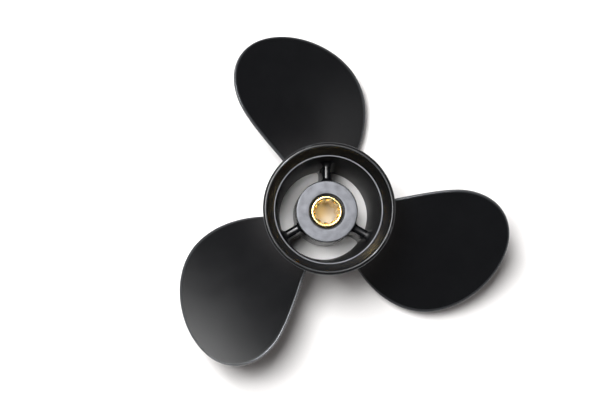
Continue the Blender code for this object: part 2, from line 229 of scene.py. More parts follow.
def hub_shell():
    outline = rounded([
        (bore_radius(0), 0, HUB_END_ROUNDING),
        (barrel_radius(0), 0, HUB_END_ROUNDING),
        (barrel_radius(RING_START), RING_START, RING_START_ROUNDING),
        (barrel_radius(RING_START) + FLARE_STEP, RING_START + FLARE_RUN, FLARE_ROUNDING),
        (LIP_RADIUS, HUB_LENGTH - LIP_SLOPE, LIP_ROUNDING),
        (LIP_CREST_RADIUS + LIP_CREST_WIDTH / 2, HUB_LENGTH, OUTER_CREST_ROUNDING),
        (LIP_CREST_RADIUS - LIP_CREST_WIDTH / 2, HUB_LENGTH, INNER_CREST_ROUNDING),
        (BORE_REAR_RADIUS + LEDGE_WIDTH, BORE_REAR, LEDGE_ROUNDING),
        (BORE_REAR_RADIUS, BORE_REAR, BORE_EDGE_ROUNDING),
    ])
    return add_piece("hub_shell", turned(stepped(outline)))


shell = hub_shell()
print("hub shell:", len(shell.data.polygons), "faces")

# %% [markdown]
# ## The inner hub
# A thick tube in the middle carries the bushing. Its rear face is machined flat after painting, because
# the propeller nut's washer rests on it, so it ends in bare metal. The painted rounding at its rim and
# the lip that keeps the bushing in are part of the same outline.

# %% Inner hub
INNER_BORE_ROUNDING = 0.8 * MM
INNER_FRONT_ROUNDING = 1 * MM
NUT_LIP_ROUNDING = 0.3 * MM


def inner_tube():
    lip_front = INNER_REAR - NUT_LIP_THICKNESS
    rim = INNER_REAR_RADIUS - MACHINED_RADIUS
    outline = rounded([
        (INNER_BORE_RADIUS, INNER_FRONT, INNER_BORE_ROUNDING),
        (INNER_FRONT_RADIUS, INNER_FRONT, INNER_FRONT_ROUNDING),
        (INNER_REAR_RADIUS, INNER_REAR, rim),
        (NUT_LIP_HOLE_RADIUS, INNER_REAR, NUT_LIP_ROUNDING),
        (NUT_LIP_HOLE_RADIUS, lip_front, 0),
        (INNER_BORE_RADIUS, lip_front, 0),
    ])
    return add_piece("inner_tube", turned(stepped(outline)))


tube = inner_tube()
print("inner hub:", len(tube.data.polygons), "faces")

# %% [markdown]
# ## Roots with fillets
# Ribs and blades grow out of the hub with a hollow rounding, the fillet. It could be left to a Bevel
# modifier on the joined mesh, but a bevel along the meeting line of two curved surfaces often breaks.
# Here the fillet is lofted: near a wall, each loop of a rib or blade is widened along the wall by what
# a quarter circle asks for at that distance. The last loops dive under the wall at a very small angle,
# so after joining no crease shows.

# %% Foot of a rib or blade
FILLET_ROWS = 9
FOOT_ANGLE = math.radians(5)
FOOT_RUN = 0.5 * MM


def widened(loop, rise, wall, distance):
    """A loop moved outwards by rise along a wall, and kept at a distance from it."""
    points = []
    for i, point in enumerate(loop):
        along = loop[(i + 1) % len(loop)] - loop[i - 1]
        outward = along.cross(Vector((point.x, point.y, 0))).normalized()
        moved = point + outward * rise
        scale = (wall(moved.z) + distance) / math.hypot(moved.x, moved.y)
        points.append(Vector((moved.x * scale, moved.y * scale, moved.z)))
    return points


def foot(loop_at, wall, side, fillet, depth):
    """Loops from inside a wall out to the end of the fillet; side is 1 outside a wall and -1 in a bore."""
    first_distance = fillet * (1 - math.cos(FOOT_ANGLE))
    first_rise = fillet * (1 - math.sin(FOOT_ANGLE))
    steps = [
        (-depth, first_rise + FOOT_RUN),
        (first_distance - FOOT_RUN * math.sin(FOOT_ANGLE), first_rise + FOOT_RUN * math.cos(FOOT_ANGLE)),
    ]
    for k in range(FILLET_ROWS + 1):
        angle = between(FOOT_ANGLE, math.pi / 2, k / FILLET_ROWS)
        steps.append((fillet * (1 - math.cos(angle)), fillet * (1 - math.sin(angle))))
    return [widened(loop_at(side * away), rise, wall, side * away) for away, rise in steps]


def close_end(maker, row):
    """Faces across the end of a loft, in a ladder between the two sides of its loop."""
    last = len(row) - 1
    for i in range(len(row) // 2 - 1):
        maker.faces.new((row[i], row[i + 1], row[last - i - 1], row[last - i]))


print("a fillet has", FILLET_ROWS, "rows, and below it the foot leaves the wall at",
      round(math.degrees(FOOT_ANGLE)), "degrees")

# %% [markdown]
# ## The ribs
# Three ribs carry the inner hub in the barrel. They are plates along the shaft, a little thicker at the
# front because the mould has to release them, and their rear edge is round so that the gas flows past.

# %% Ribs
RIB_COUNT = 3
FIRST_RIB_ANGLE = math.radians(90)
RIB_FRONT = 7 * MM
RIB_REAR = 57.5 * MM
RIB_FRONT_THICKNESS = 8 * MM
RIB_REAR_THICKNESS = 5.4 * MM
RIB_FRONT_ROUNDING = 1 * MM
RIB_EDGE_RADIUS = 2.4 * MM
RIB_HUB_FILLET = 2.3 * MM
RIB_BORE_FILLET = 3.5 * MM
RIB_ROOT_DEPTH = 1.5 * MM


def rib_section():
    """The rib's outline (sideways, height), starting in the middle of its front edge."""
    half_front = RIB_FRONT_THICKNESS / 2
    half_rear = RIB_REAR_THICKNESS / 2
    return stepped(rounded([
        (half_front, RIB_FRONT, RIB_FRONT_ROUNDING),
        (half_rear, RIB_REAR, RIB_EDGE_RADIUS),
        (-half_rear, RIB_REAR, RIB_EDGE_RADIUS),
        (-half_front, RIB_FRONT, RIB_FRONT_ROUNDING),
    ], steps=2 * CORNER_STEPS))


def rib_loop(wall, distance):
    """The rib's section laid at a distance from a wall, for a rib along +X."""
    loop = []
    for sideways, height in rib_section():
        radius = wall(height) + distance
        loop.append(Vector((math.sqrt(radius ** 2 - sideways ** 2), sideways, height)))
    return loop


def rib_foot(wall, side, fillet):
    return foot(lambda distance: rib_loop(wall, distance), wall, side, fillet, RIB_ROOT_DEPTH)


def rib(number):
    inner = rib_foot(inner_hub_radius, 1, RIB_HUB_FILLET)
    outer = rib_foot(bore_radius, -1, RIB_BORE_FILLET)
    maker, rows = loft(inner + outer[::-1])
    close_end(maker, rows[0])
    close_end(maker, rows[-1])
    turn = FIRST_RIB_ANGLE + number * math.tau / RIB_COUNT
    bmesh.ops.rotate(maker, verts=maker.verts, matrix=Matrix.Rotation(turn, 3, "Z"))
    return add_piece(f"rib_skin_{number + 1}", maker)


ribs = [rib(number) for number in range(RIB_COUNT)]
print("ribs:", len(ribs), "of", len(ribs[0].data.polygons), "faces")

# %% [markdown]
# ## The blades' outline
# Seen along the shaft, a blade is a broad ear. Its trailing edge leaves the hub straight and turns at a
# shoulder, the leading edge bulges over a belly, and both meet at the tip. A few points with Bezier
# handles say all of this, as a draughtsman would pull the curve with a spline. The outline is drawn for
# a blade that points along +X.

# %% Blade outline
BLADE_COUNT = 3
FIRST_BLADE_ANGLE = math.radians(-10.15)
ROOT_RADIUS = 36 * MM
TRAILING_ROOT_ANGLE = math.radians(21)
TRAILING_ROOT_REACH = 27.5 * MM
TRAILING_SHOULDER = Vector((95, 32)) * MM
TRAILING_SHOULDER_REACH = (14.5 * MM, 23 * MM)
TIP = Vector((130.2, 0.5)) * MM
TIP_REACH = (17 * MM, 28.5 * MM)
LEADING_BELLY = Vector((76.5, -57)) * MM
LEADING_BELLY_REACH = (23.5 * MM, 28 * MM)
LEADING_ROOT_ANGLE = math.radians(-47.5)
LEADING_ROOT_REACH = 15 * MM
LEADING_ROOT_DIRECTION = math.radians(-57)
SPINE_END = Vector((112, -4)) * MM
CURVE_POINTS = 120
ALONG_X = Vector((1, 0))
ALONG_Y = Vector((0, 1))


def curve_through(knots):
    """Fine polyline along cubic curves, from knots (point, handle before, handle after)."""
    points = []
    for (start, _, leaving), (end, arriving, _) in zip(knots, knots[1:]):
        run = interpolate_bezier(start, leaving, arriving, end, CURVE_POINTS)
        points += [p.to_2d() for p in run][1 if points else 0:]
    return points


def edge(root_angle, root_direction, root_reach, middle, middle_reach, tip_handle):
    """From the root over a middle point, where it runs straight outwards, to the tip."""
    root = polar(ROOT_RADIUS, root_angle)
    before, after = middle_reach
    return curve_through([
        (root, None, root + polar(root_reach, root_direction)),
        (middle, middle - ALONG_X * before, middle + ALONG_X * after),
        (TIP, TIP + ALONG_Y * tip_handle, None),
    ])


trailing_edge = edge(
    TRAILING_ROOT_ANGLE, TRAILING_ROOT_ANGLE, TRAILING_ROOT_REACH,
    TRAILING_SHOULDER, TRAILING_SHOULDER_REACH, TIP_REACH[0],
)
leading_edge = edge(
    LEADING_ROOT_ANGLE, LEADING_ROOT_DIRECTION, LEADING_ROOT_REACH,
    LEADING_BELLY, LEADING_BELLY_REACH, -TIP_REACH[1],
)
print(f"blade outline: tip {TIP.length / MM:.1f} mm from the shaft's axis")

# %% [markdown]
# ## The blades' surface
# A propeller blade is a piece of a screw: going round the shaft, its face climbs by the pitch for each
# turn. The face that pushes the water looks towards the stern and up at the camera. Blender's Screw
# modifier sweeps one line only, so the height of the face is worked out as a formula for any point of
# the outline's plane, and the same formula gives the direction that the face looks in.

# %% Screw face
PITCH = 304.8 * MM
PITCH_RADIUS = 90 * MM
PITCH_GAIN = 1.6
BLADE_HEIGHT = 45.8 * MM
TIP_RAKE = 6.3 * MM


def share_of_span(radius):
    """How far out a radius lies, from 0 at the hub to 1 at the tip."""
    return (radius - BARREL_REAR_RADIUS) / (TIP.length - BARREL_REAR_RADIUS)


def blade_face(point):
    """The face towards the stern, a screw surface with a little rake, at a point of the outline's plane."""
    radius = point.length
    angle = math.atan2(point.y, point.x)
    rake = TIP_RAKE * max(share_of_span(radius), 0) ** 2
    pitch = PITCH + PITCH_GAIN * (radius - PITCH_RADIUS)
    return Vector((*point, BLADE_HEIGHT + pitch * angle / math.tau + rake))


def face_normal(point):
    """Unit normal of that face, pointing towards the stern."""
    step = 0.1 * MM
    along_x = blade_face(point + ALONG_X * step) - blade_face(point - ALONG_X * step)
    along_y = blade_face(point + ALONG_Y * step) - blade_face(point - ALONG_Y * step)
    return along_x.cross(along_y).normalized()


print(f"pitch {PITCH / MM:.0f} mm a turn, {PITCH_RADIUS / MM:.0f} mm from the axis")

# %% [markdown]
# ## The blades' section
# Cut across, a blade is a plate that swells in its middle, and it gets thinner from the root to the tip.
# A Solidify modifier would give it one thickness and a plain rim. So each section is drawn as a closed
# loop: over the face, round one edge, back over the other side and round the other edge. The trailing
# edge is cut square, as on most cast propellers, and the leading edge is round.

# %% Blade section
ROOT_THICKNESS = 10 * MM
TIP_THICKNESS = 4 * MM
EDGE_THICKNESS = 2.4 * MM
EDGE_DEPTH = 0.8 * MM
EDGE_STEPS = 8
SQUARE_EDGE = 4
TIP_EDGE = 3.5
ROUND_EDGE = 2.2
TIP_BLEND = 4
SECTION_FULLNESS = 0.8


def edge_closing(start, end, outwards, squareness):
    """Points that close an edge, round for a squareness of 2 and ever squarer above."""
    centre = (start + end) / 2
    half = (start - end) / 2
    points = []
    for k in range(1, EDGE_STEPS + 1):
        turn = math.pi * k / (EDGE_STEPS + 1)
        across = math.copysign(abs(math.cos(turn)) ** (2 / squareness), math.cos(turn))
        out = math.sin(turn) ** (2 / squareness)
        points.append(centre + half * across + outwards * EDGE_DEPTH * out)
    return points


def blade_section(columns, along):
    """Closed loop round the blade through one row of points, at a share of the way from root to tip."""
    upper, lower = [], []
    last = len(columns) - 1
    for k, point in enumerate(columns):
        fullness = math.sin(math.pi * k / last) ** SECTION_FULLNESS if 0 < k < last else 0
        thickest = between(ROOT_THICKNESS, TIP_THICKNESS, min(max(share_of_span(point.length), 0), 1))
        upper.append(blade_face(point))
        lower.append(blade_face(point) - face_normal(point) * between(EDGE_THICKNESS, thickest, fullness))
    at_leading = (upper[-1] - upper[-2]).normalized()
    at_trailing = (upper[0] - upper[1]).normalized()
    near_tip = along ** TIP_BLEND
    leading = edge_closing(upper[-1], lower[-1], at_leading, between(ROUND_EDGE, TIP_EDGE, near_tip))
    trailing = edge_closing(lower[0], upper[0], at_trailing, between(SQUARE_EDGE, TIP_EDGE, near_tip))
    middle = EDGE_STEPS // 2
    return trailing[middle:] + upper + leading + lower[::-1] + trailing[:middle]


print(f"blade {ROOT_THICKNESS / MM:.0f} mm thick at the root and {EDGE_THICKNESS / MM:.1f} mm at its edges")

# %% [markdown]
# ## Steps along the blades' edges
# The closing of an edge adds a little outside the outline, so the outline is first moved inwards by as
# much. Then it is divided into steps, one for each row of the mesh. Even steps would be simpler, but the
# outline bends most at the tip, so the steps get shorter on the way there.

# %% Blade edges in steps
BLADE_ROWS = 54
ROOT_STEP = 1.5  # length of the first step, beside the average one


def inset(curve):
    """A blade edge's curve moved inwards by what the closing of the edge adds outside it."""
    points = []
    for i, point in enumerate(curve):
        along = (curve[min(i + 1, len(curve) - 1)] - curve[max(i - 1, 0)]).normalized()
        outwards = Vector((along.y, -along.x))
        if i == len(curve) - 1:
            outwards = ALONG_X
        elif outwards.dot(point - SPINE_END / 2) < 0:
            outwards = -outwards
        below = -face_normal(point).to_2d().dot(outwards) * EDGE_THICKNESS / 2
        points.append(point - outwards * (below + math.hypot(below, EDGE_DEPTH)))
    return points


def graded(share):
    """Share of the way from root to tip, in steps that shorten towards the tip."""
    return share * (ROOT_STEP + (1 - ROOT_STEP) * share)


def graded_steps(points, count):
    """Points along a polyline, at distances that shorten towards its end."""
    lengths = [0]
    for a, b in zip(points, points[1:]):
        lengths.append(lengths[-1] + (b - a).length)
    result = []
    k = 0
    for i in range(count + 1):
        wanted = lengths[-1] * graded(i / count)
        while k < len(points) - 2 and lengths[k + 1] < wanted:
            k += 1
        share = (wanted - lengths[k]) / (lengths[k + 1] - lengths[k])
        result.append(between(points[k], points[k + 1], share))
    return result


print("blade edges:", BLADE_ROWS, "steps from root to tip")

# %% [markdown]
# ## Rows across the blades
# The rows near the hub lie at constant distances from the barrel, as the fillet asks for. Further out
# each row starts on the trailing edge, passes a spine in the blade's middle and ends on the leading
# edge. A plain grid trimmed to the outline would be quicker to write, but its cut edge would be ragged.

# %% Rows of points
BLADE_COLUMNS = 24


def barrel_beside(point):
    """The barrel's outer radius at the height where the blade's face passes this point."""
    return barrel_radius(blade_face(point).z)


def root_columns(trailing, leading, distance):
    """Points across the blade's root, all at one distance from the barrel."""
    radius = BARREL_REAR_RADIUS + distance
    first = next(p for p in trailing if p.length >= radius)
    last = next(p for p in leading if p.length >= radius)
    start, end = math.atan2(first.y, first.x), math.atan2(last.y, last.x)
    columns = []
    for k in range(2 * BLADE_COLUMNS + 1):
        angle = between(start, end, k / (2 * BLADE_COLUMNS))
        columns.append(polar(barrel_beside(polar(radius, angle)) + distance, angle))
    return columns


def outer_columns(trailing, spine, leading):
    """Points across the blade, from the trailing edge over its spine to the leading edge."""
    columns = []
    for start, end in ((trailing, spine), (spine, leading)):
        start_angle, end_angle = math.atan2(start.y, start.x), math.atan2(end.y, end.x)
        for k in range(BLADE_COLUMNS):
            share = k / BLADE_COLUMNS
            angle = between(start_angle, end_angle, share)
            columns.append(polar(between(start.length, end.length, share), angle))
    return columns + [leading]


print("each row:", 2 * BLADE_COLUMNS + 1, "points")

# %% [markdown]
# ## The blades
# The three blades are alike, so the loops are worked out once, and each blade is a loft of them, turned
# by a third of a turn from the one before. The last row is folded at the tip, so the mesh closes there
# without a pole, a point where many narrow faces meet and shading pinches.

# %% Blades
BLADE_FILLET = 5 * MM
BLADE_ROOT_DEPTH = 2.4 * MM
ROW_START = 0.5 * MM
SAME_PLACE = 0.01 * MM


def blade_loops():
    trailing, leading = inset(trailing_edge), inset(leading_edge)
    loops = foot(
        lambda distance: blade_section(root_columns(trailing, leading, distance), 0),
        barrel_radius, 1, BLADE_FILLET, BLADE_ROOT_DEPTH,
    )
    base = root_columns(trailing, leading, BLADE_FILLET)
    outer_trailing = [base[0]] + [p for p in trailing if p.length > base[0].length + ROW_START]
    outer_leading = [base[-1]] + [p for p in leading if p.length > base[-1].length + ROW_START]
    trailing_steps = graded_steps(outer_trailing, BLADE_ROWS)
    leading_steps = graded_steps(outer_leading, BLADE_ROWS)
    for k in range(1, BLADE_ROWS + 1):
        share = k / BLADE_ROWS
        spine = between(base[BLADE_COLUMNS], SPINE_END, graded(share))
        loops.append(blade_section(outer_columns(trailing_steps[k], spine, leading_steps[k]), share))
    return loops


def blade(number, loops):
    maker, rows = loft(loops)
    close_end(maker, rows[0])
    bmesh.ops.remove_doubles(maker, verts=rows[-1], dist=SAME_PLACE)
    turn = FIRST_BLADE_ANGLE + number * math.tau / BLADE_COUNT
    bmesh.ops.rotate(maker, verts=maker.verts, matrix=Matrix.Rotation(turn, 3, "Z"))
    return add_piece(f"blade_skin_{number + 1}", maker)


one_blade = blade_loops()
blades = [blade(number, one_blade) for number in range(BLADE_COUNT)]
print("blades:", len(blades), "of", len(blades[0].data.polygons), "faces")

# %% [markdown]
# ## One casting
# The real propeller comes out of its mould in one piece, so the solids are joined into one skin with
# Boolean unions. The parts overlap well under each other's surfaces, which is what the exact solver
# needs, and what lay inside is gone afterwards.

# %% Join the casting
def combined(name, first, others, operation):
    """One object from overlapping solids by a Boolean operation, after which they are removed."""
    for other in others:
        step = first.modifiers.new(other.name, "BOOLEAN")
        step.operation = operation
        step.solver = "EXACT"
        step.object = other
    maker = bmesh.new()
    maker.from_object(first, bpy.context.evaluated_depsgraph_get())
    for part in [first, *others]:
        bpy.data.objects.remove(part)
    return add_piece(name, maker)


casting = combined("casting", shell, [tube, *ribs, *blades], "UNION")
print("casting:", len(casting.data.polygons), "faces")
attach(casting, "root")
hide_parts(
    "hub_barrel", "diffuser_ring", "inner_hub",
    "rib_1", "rib_2", "rib_3", "blade_1", "blade_2", "blade_3",
)

# %% [markdown]
# ## The rubber bushing
# Between the inner hub and the brass sits a rubber bushing. It lets the hub slip when a blade strikes
# something, and takes up the engine's shocks. From behind it shows only as a dark ring round the brass;
# from the front its moulded end face is seen. It is a turned ring too, and stands for its solid.

# %% Rubber bushing
bushing_low, bushing_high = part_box("rubber_bushing")
sleeve_low, sleeve_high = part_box("splined_sleeve")
SLEEVE_RADIUS = sleeve_high.x
BUSHING_CLEARANCE = INNER_BORE_RADIUS - bushing_high.x
BUSHING_DISH = 1.2 * MM
BUSHING_BORE_ROUNDING = 0.5 * MM
BUSHING_DISH_ROUNDING = 3 * MM
BUSHING_RIM_ROUNDING = 0.8 * MM


def rubber_ring():
    inside = SLEEVE_RADIUS + BUSHING_CLEARANCE
    middle = (inside + bushing_high.x) / 2
    outline = rounded([
        (inside, bushing_low.z, BUSHING_BORE_ROUNDING),
        (middle, bushing_low.z + BUSHING_DISH, BUSHING_DISH_ROUNDING),
        (bushing_high.x, bushing_low.z, BUSHING_RIM_ROUNDING),
        (bushing_high.x, bushing_high.z, BUSHING_RIM_ROUNDING),
        (middle, bushing_high.z - BUSHING_DISH / 2, BUSHING_DISH_ROUNDING),
        (inside, bushing_high.z, BUSHING_BORE_ROUNDING),
    ])
    return add_piece("bushing", turned(stepped(outline)))


bushing = rubber_ring()
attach(bushing, "root")
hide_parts("rubber_bushing")
print("bushing:", len(bushing.data.polygons), "faces")

# %% [markdown]
# ## The brass sleeve
# The sleeve fits the splines of the shaft. It is turned from bar and chamfered at both ends, inside and
# outside. Its blank is one more turned outline, with corners hardly rounded, because a turned edge is
# crisper than a cast one.

# %% Sleeve blank
SLEEVE_SEGMENTS = 160
SLEEVE_CORNER_STEPS = 3
SLEEVE_LONGEST_STEP = 4 * MM
SLEEVE_CHAMFER = 0.6 * MM
SLEEVE_ROUNDING = 0.1 * MM
SPLINE_TIP_RADIUS = 7.8 * MM
SPLINE_COUNTERSINK_RADIUS = 9.4 * MM


def sleeve_blank():
    countersink = SPLINE_COUNTERSINK_RADIUS - SPLINE_TIP_RADIUS
    corners = [
        (SPLINE_TIP_RADIUS, countersink),
        (SPLINE_COUNTERSINK_RADIUS, 0),
        (SLEEVE_RADIUS - SLEEVE_CHAMFER, 0),
        (SLEEVE_RADIUS, SLEEVE_CHAMFER),
    ]
    front = [(radius, sleeve_low.z + depth, SLEEVE_ROUNDING) for radius, depth in corners]
    rear = [(radius, sleeve_high.z - depth, SLEEVE_ROUNDING) for radius, depth in reversed(corners)]
    outline = rounded(front + rear, steps=SLEEVE_CORNER_STEPS)
    return add_piece("sleeve", turned(stepped(outline, SLEEVE_LONGEST_STEP), SLEEVE_SEGMENTS))


blank = sleeve_blank()
print("sleeve blank:", len(blank.data.polygons), "faces")

# %% [markdown]
# ## The splines
# The ten teeth are cut by pulling a toothed bar, the broach, through the bore. The model is made the
# same way, by a Boolean difference with a toothed prism. Drawn face by face, the teeth would need their
# slanted ends in the countersink worked out, which the cut gives by itself.

# %% Splines
SPLINE_COUNT = 10
SPLINE_ROOT_RADIUS = 8.9 * MM
SPLINE_PHASE = math.radians(14)
SPLINE_TOOTH_SHARE_AT_TIP = 0.42
SPLINE_TOOTH_SHARE_AT_ROOT = 0.56
SPLINE_CORNER = 0.2 * MM
BROACH_CORE_CLEARANCE = 0.5 * MM
BROACH_OVERRUN = 1 * MM


def broach():
    """The toothed bar that cuts the splines, longer than the sleeve."""
    pitch_angle = math.tau / SPLINE_COUNT
    bar_core = SPLINE_TIP_RADIUS - BROACH_CORE_CLEARANCE
    half_at_tip = (1 - SPLINE_TOOTH_SHARE_AT_TIP) * pitch_angle / 2
    half_at_root = (1 - SPLINE_TOOTH_SHARE_AT_ROOT) * pitch_angle / 2
    corners = []
    for k in range(SPLINE_COUNT):
        middle = SPLINE_PHASE + (k + 0.5) * pitch_angle
        corners += [
            (*polar(bar_core, middle - half_at_tip), 0),
            (*polar(SPLINE_ROOT_RADIUS, middle - half_at_root), SPLINE_CORNER),
            (*polar(SPLINE_ROOT_RADIUS, middle + half_at_root), SPLINE_CORNER),
            (*polar(bar_core, middle + half_at_tip), 0),
        ]
    section = rounded(corners, steps=SLEEVE_CORNER_STEPS)
    heights = (sleeve_low.z - BROACH_OVERRUN, sleeve_high.z + BROACH_OVERRUN)
    maker, rows = loft([[(x, y, z) for x, y in section] for z in heights])
    for row in rows:
        maker.faces.new(row)
    return add_piece("broach", maker)


sleeve = combined("sleeve_with_splines", blank, [broach()], "DIFFERENCE")
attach(sleeve, "root")
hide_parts("splined_sleeve")
print("sleeve:", len(sleeve.data.polygons), "faces")

# %% [markdown]
# ## Colours and nodes
# Colours are picked as sRGB hex values, the way they look on a screen, and Blender's shaders count in
# linear light, so one function turns the first into the second. Another one adds a node, sets its
# properties and fills its sockets with values or links. Patterns are laid in the object's own
# coordinates, which are metres, so a pattern has a scale of one over the size of its features. Most of
# a noise lies between 0.3 and 0.7, so that stretch is mapped to a roughness. The Mix node has several
# sockets of one name, so they are picked by their places.

# %% Helpers for materials
FACTOR, FIRST_COLOUR, SECOND_COLOUR = 0, 6, 7
MIXED_COLOUR = 2
FIRST_VALUE, SECOND_VALUE = 2, 3
NOISE_STRETCH = {"From Min": 0.3, "From Max": 0.7}


def linear(hex_colour):
    """Linear colour with alpha from an sRGB hex colour."""
    channels = [int(hex_colour[i:i + 2], 16) / 255 for i in (1, 3, 5)]
    return (*[c / 12.92 if c <= 0.04045 else ((c + 0.055) / 1.055) ** 2.4 for c in channels], 1)


def fill(node, sockets):
    """Gives each named socket of a node a value, or links it to another node's output."""
    for name, value in sockets.items():
        if isinstance(value, bpy.types.NodeSocket):
            node.id_data.links.new(value, node.inputs[name])
        else:
            node.inputs[name].default_value = value


def add_node(tree, kind, sockets=None, output=0, **settings):
    """Adds a node, sets its properties, fills its sockets and gives back one output, mostly the first."""
    made = tree.nodes.new(kind)
    for name, value in settings.items():
        setattr(made, name, value)
    fill(made, sockets or {})
    return made.outputs[output]


def new_finish(name):
    """An empty material, its node tree, its shader and the object's coordinates."""
    finish = bpy.data.materials.new(name)
    finish.use_nodes = True
    tree = finish.node_tree
    shader = tree.nodes["Principled BSDF"]
    place = add_node(tree, "ShaderNodeTexCoord", output="Object")
    return finish, tree, shader, place


print("the grey #808080 in linear light:", round(linear("#808080")[0], 3))

# %% [markdown]
# ## Unevenness of the enamel
# The casting is blasted, sprayed with a satin black enamel and baked. The sprayed film has orange peel,
# ripples about 1.5 mm wide and a thousandth of a millimetre high. The casting under it was ground by
# hand, which leaves long waves that make the highlights wander. The matting powder lies unevenly, so the
# roughness changes in clouds. All three come from noise, each near its real size. A picture of paint
# could do the same, but its seams would have to be hidden.

# %% Patterns of the enamel
ORANGE_PEEL_WIDTH = 2 * MM  # about 1.5 mm in truth, drawn a little coarser to show
GRINDING_WAVE_WIDTH = 26 * MM
POWDER_CLOUD_WIDTH = 16 * MM


def film_patterns(tree, place):
    """Clouds of matting powder, orange peel and grinding waves, each from 0 to 1."""
    return [
        add_node(
            tree, "ShaderNodeTexNoise",
            {"Vector": place, "Scale": 1 / width, "Detail": detail, "Roughness": roughness},
        )
        for width, detail, roughness in (
            (POWDER_CLOUD_WIDTH, 4, 0.6),
            (ORANGE_PEEL_WIDTH, 1.5, 0.4),
            (GRINDING_WAVE_WIDTH, 1, 0.3),
        )
    ]


print(f"orange peel {ORANGE_PEEL_WIDTH / MM:.0f} mm wide, grinding waves {GRINDING_WAVE_WIDTH / MM:.0f} mm")

# %% [markdown]
# ## Thin edges with a painted highlight, and dry spray
# On sharp edges the film draws back, and the metal shines through. The grey, partly metallic colour given
# there is also a painted highlight: it is stronger than thin paint alone would be, so that the edges draw
# bright lines. The shader finds an edge by the mesh's pointiness, which is 0.5 where it is flat and more
# where it bends outwards. The Bevel node could find edges too, but it misses the middle of a rounding,
# which is the part that shines. Into the bore the spray arrives half dry. Its wall is found by its
# distance from the shaft's axis.

# %% Places where the film differs
FLAT_POINTINESS = 0.507
EDGE_POINTINESS = 0.52
BORE_WALL_MIDDLE = 34.5 * MM
BORE_WALL_BAND = 2.9 * MM


def thin_edges_and_painted_highlight(tree):
    """Where the film is thin and a highlight is painted, from 0 on a flat face to 1 on a sharp edge."""
    bend = add_node(tree, "ShaderNodeNewGeometry", output="Pointiness")
    return add_node(
        tree, "ShaderNodeMapRange",
        {"Value": bend, "From Min": FLAT_POINTINESS, "From Max": EDGE_POINTINESS},
    )


def from_shaft(tree, place):
    """The offset from the shaft's axis, and its length."""
    across = add_node(tree, "ShaderNodeVectorMath", {0: place, 1: (1, 1, 0)}, operation="MULTIPLY")
    radius = add_node(tree, "ShaderNodeVectorMath", {0: across}, output="Value", operation="LENGTH")
    return across, radius


def on_bore_wall(tree, place):
    """1 at the distance of the bore's wall from the axis, and 0 elsewhere."""
    _, radius = from_shaft(tree, place)
    return add_node(
        tree, "ShaderNodeMath", {0: radius, 1: BORE_WALL_MIDDLE, 2: BORE_WALL_BAND}, operation="COMPARE",
    )


print("the film thins out from a pointiness of", FLAT_POINTINESS, "to", EDGE_POINTINESS)

# %% [markdown]
# ## Satin black enamel on the casting
# Enamel is a smooth dielectric film with an IOR of about 1.4 to 1.5, and nearly all that the eye sees of
# it is reflection: broad, soft highlights on a black that is a little cool. A low roughness that follows
# the powder's clouds gives that. The half-dry spray in the bore is duller. The thin edges are greyer and
# partly metallic, which is in part thin film and in part a painted highlight, so they draw thin bright
# lines.

# %% Satin black enamel
FILM_COLOURS = {FIRST_COLOUR: linear("#0A0B0D"), SECOND_COLOUR: linear("#0F1012")}
# Edge colour and metal: partly film worn thin, partly a painted highlight along the edges.
THIN_EDGE_AND_HIGHLIGHT_COLOUR = linear("#505255")
THIN_EDGE_AND_HIGHLIGHT_METAL = 0.65
FILM_ROUGHNESS = {"To Min": 0.23, "To Max": 0.26}
DRY_SPRAY_ROUGHNESS = 0.5
FILM_IOR = 1.42
ORANGE_PEEL_HEIGHT = 0.001 * MM
GRINDING_WAVE_HEIGHT = 0.012 * MM


def satin_enamel():
    finish, tree, shader, place = new_finish("satin_black_enamel_on_casting")
    clouds, peel, waves = film_patterns(tree, place)
    thin_edge_and_highlight = thin_edges_and_painted_highlight(tree)
    film = add_node(
        tree, "ShaderNodeMix", {FACTOR: clouds, **FILM_COLOURS}, output=MIXED_COLOUR, data_type="RGBA",
    )
    # Greyer colour on the edges: partly thin film, partly a painted highlight.
    colour = add_node(
        tree, "ShaderNodeMix",
        {FACTOR: thin_edge_and_highlight, FIRST_COLOUR: film, SECOND_COLOUR: THIN_EDGE_AND_HIGHLIGHT_COLOUR},
        output=MIXED_COLOUR, data_type="RGBA",
    )
    # Metal on the edges: partly film worn thin, partly painted sheen.
    shine_through_and_sheen = add_node(
        tree, "ShaderNodeMath", {0: thin_edge_and_highlight, 1: THIN_EDGE_AND_HIGHLIGHT_METAL}, operation="MULTIPLY",
    )
    roughness = add_node(tree, "ShaderNodeMapRange", {"Value": clouds, **NOISE_STRETCH, **FILM_ROUGHNESS})
    sprayed_roughness = add_node(
        tree, "ShaderNodeMapRange",
        {"Value": on_bore_wall(tree, place), "To Min": roughness, "To Max": DRY_SPRAY_ROUGHNESS},
    )
    ground = add_node(tree, "ShaderNodeBump", {"Height": waves, "Distance": GRINDING_WAVE_HEIGHT})
    sprayed = add_node(
        tree, "ShaderNodeBump", {"Height": peel, "Distance": ORANGE_PEEL_HEIGHT, "Normal": ground},
    )
    fill(shader, {
        "Base Color": colour, "Metallic": shine_through_and_sheen, "Roughness": sprayed_roughness,
        "IOR": FILM_IOR, "Normal": sprayed,
    })
    return finish


casting.data.materials.append(satin_enamel())
print("finish:", casting.data.materials[0].name)

# %% [markdown]
# ## Turned faces
# The rear face of the inner hub and the ends of the brass sleeve are cut on a lathe. The tool leaves a
# fine spiral groove, which looks like rings. A Wave texture would draw perfect rings. A noise in the
# distance from the shaft's axis and the direction round it, squeezed along the radius, gives rings that
# start, fade and end as real feed marks do. The direction goes in as a point on a circle, because an
# angle would leave a seam where it jumps.

# %% Rings round the shaft
FEED_MARK_WIDTH = 0.45 * MM  # about 0.15 mm in truth, drawn coarser to show
FEED_MARK_SPREAD = 1.3


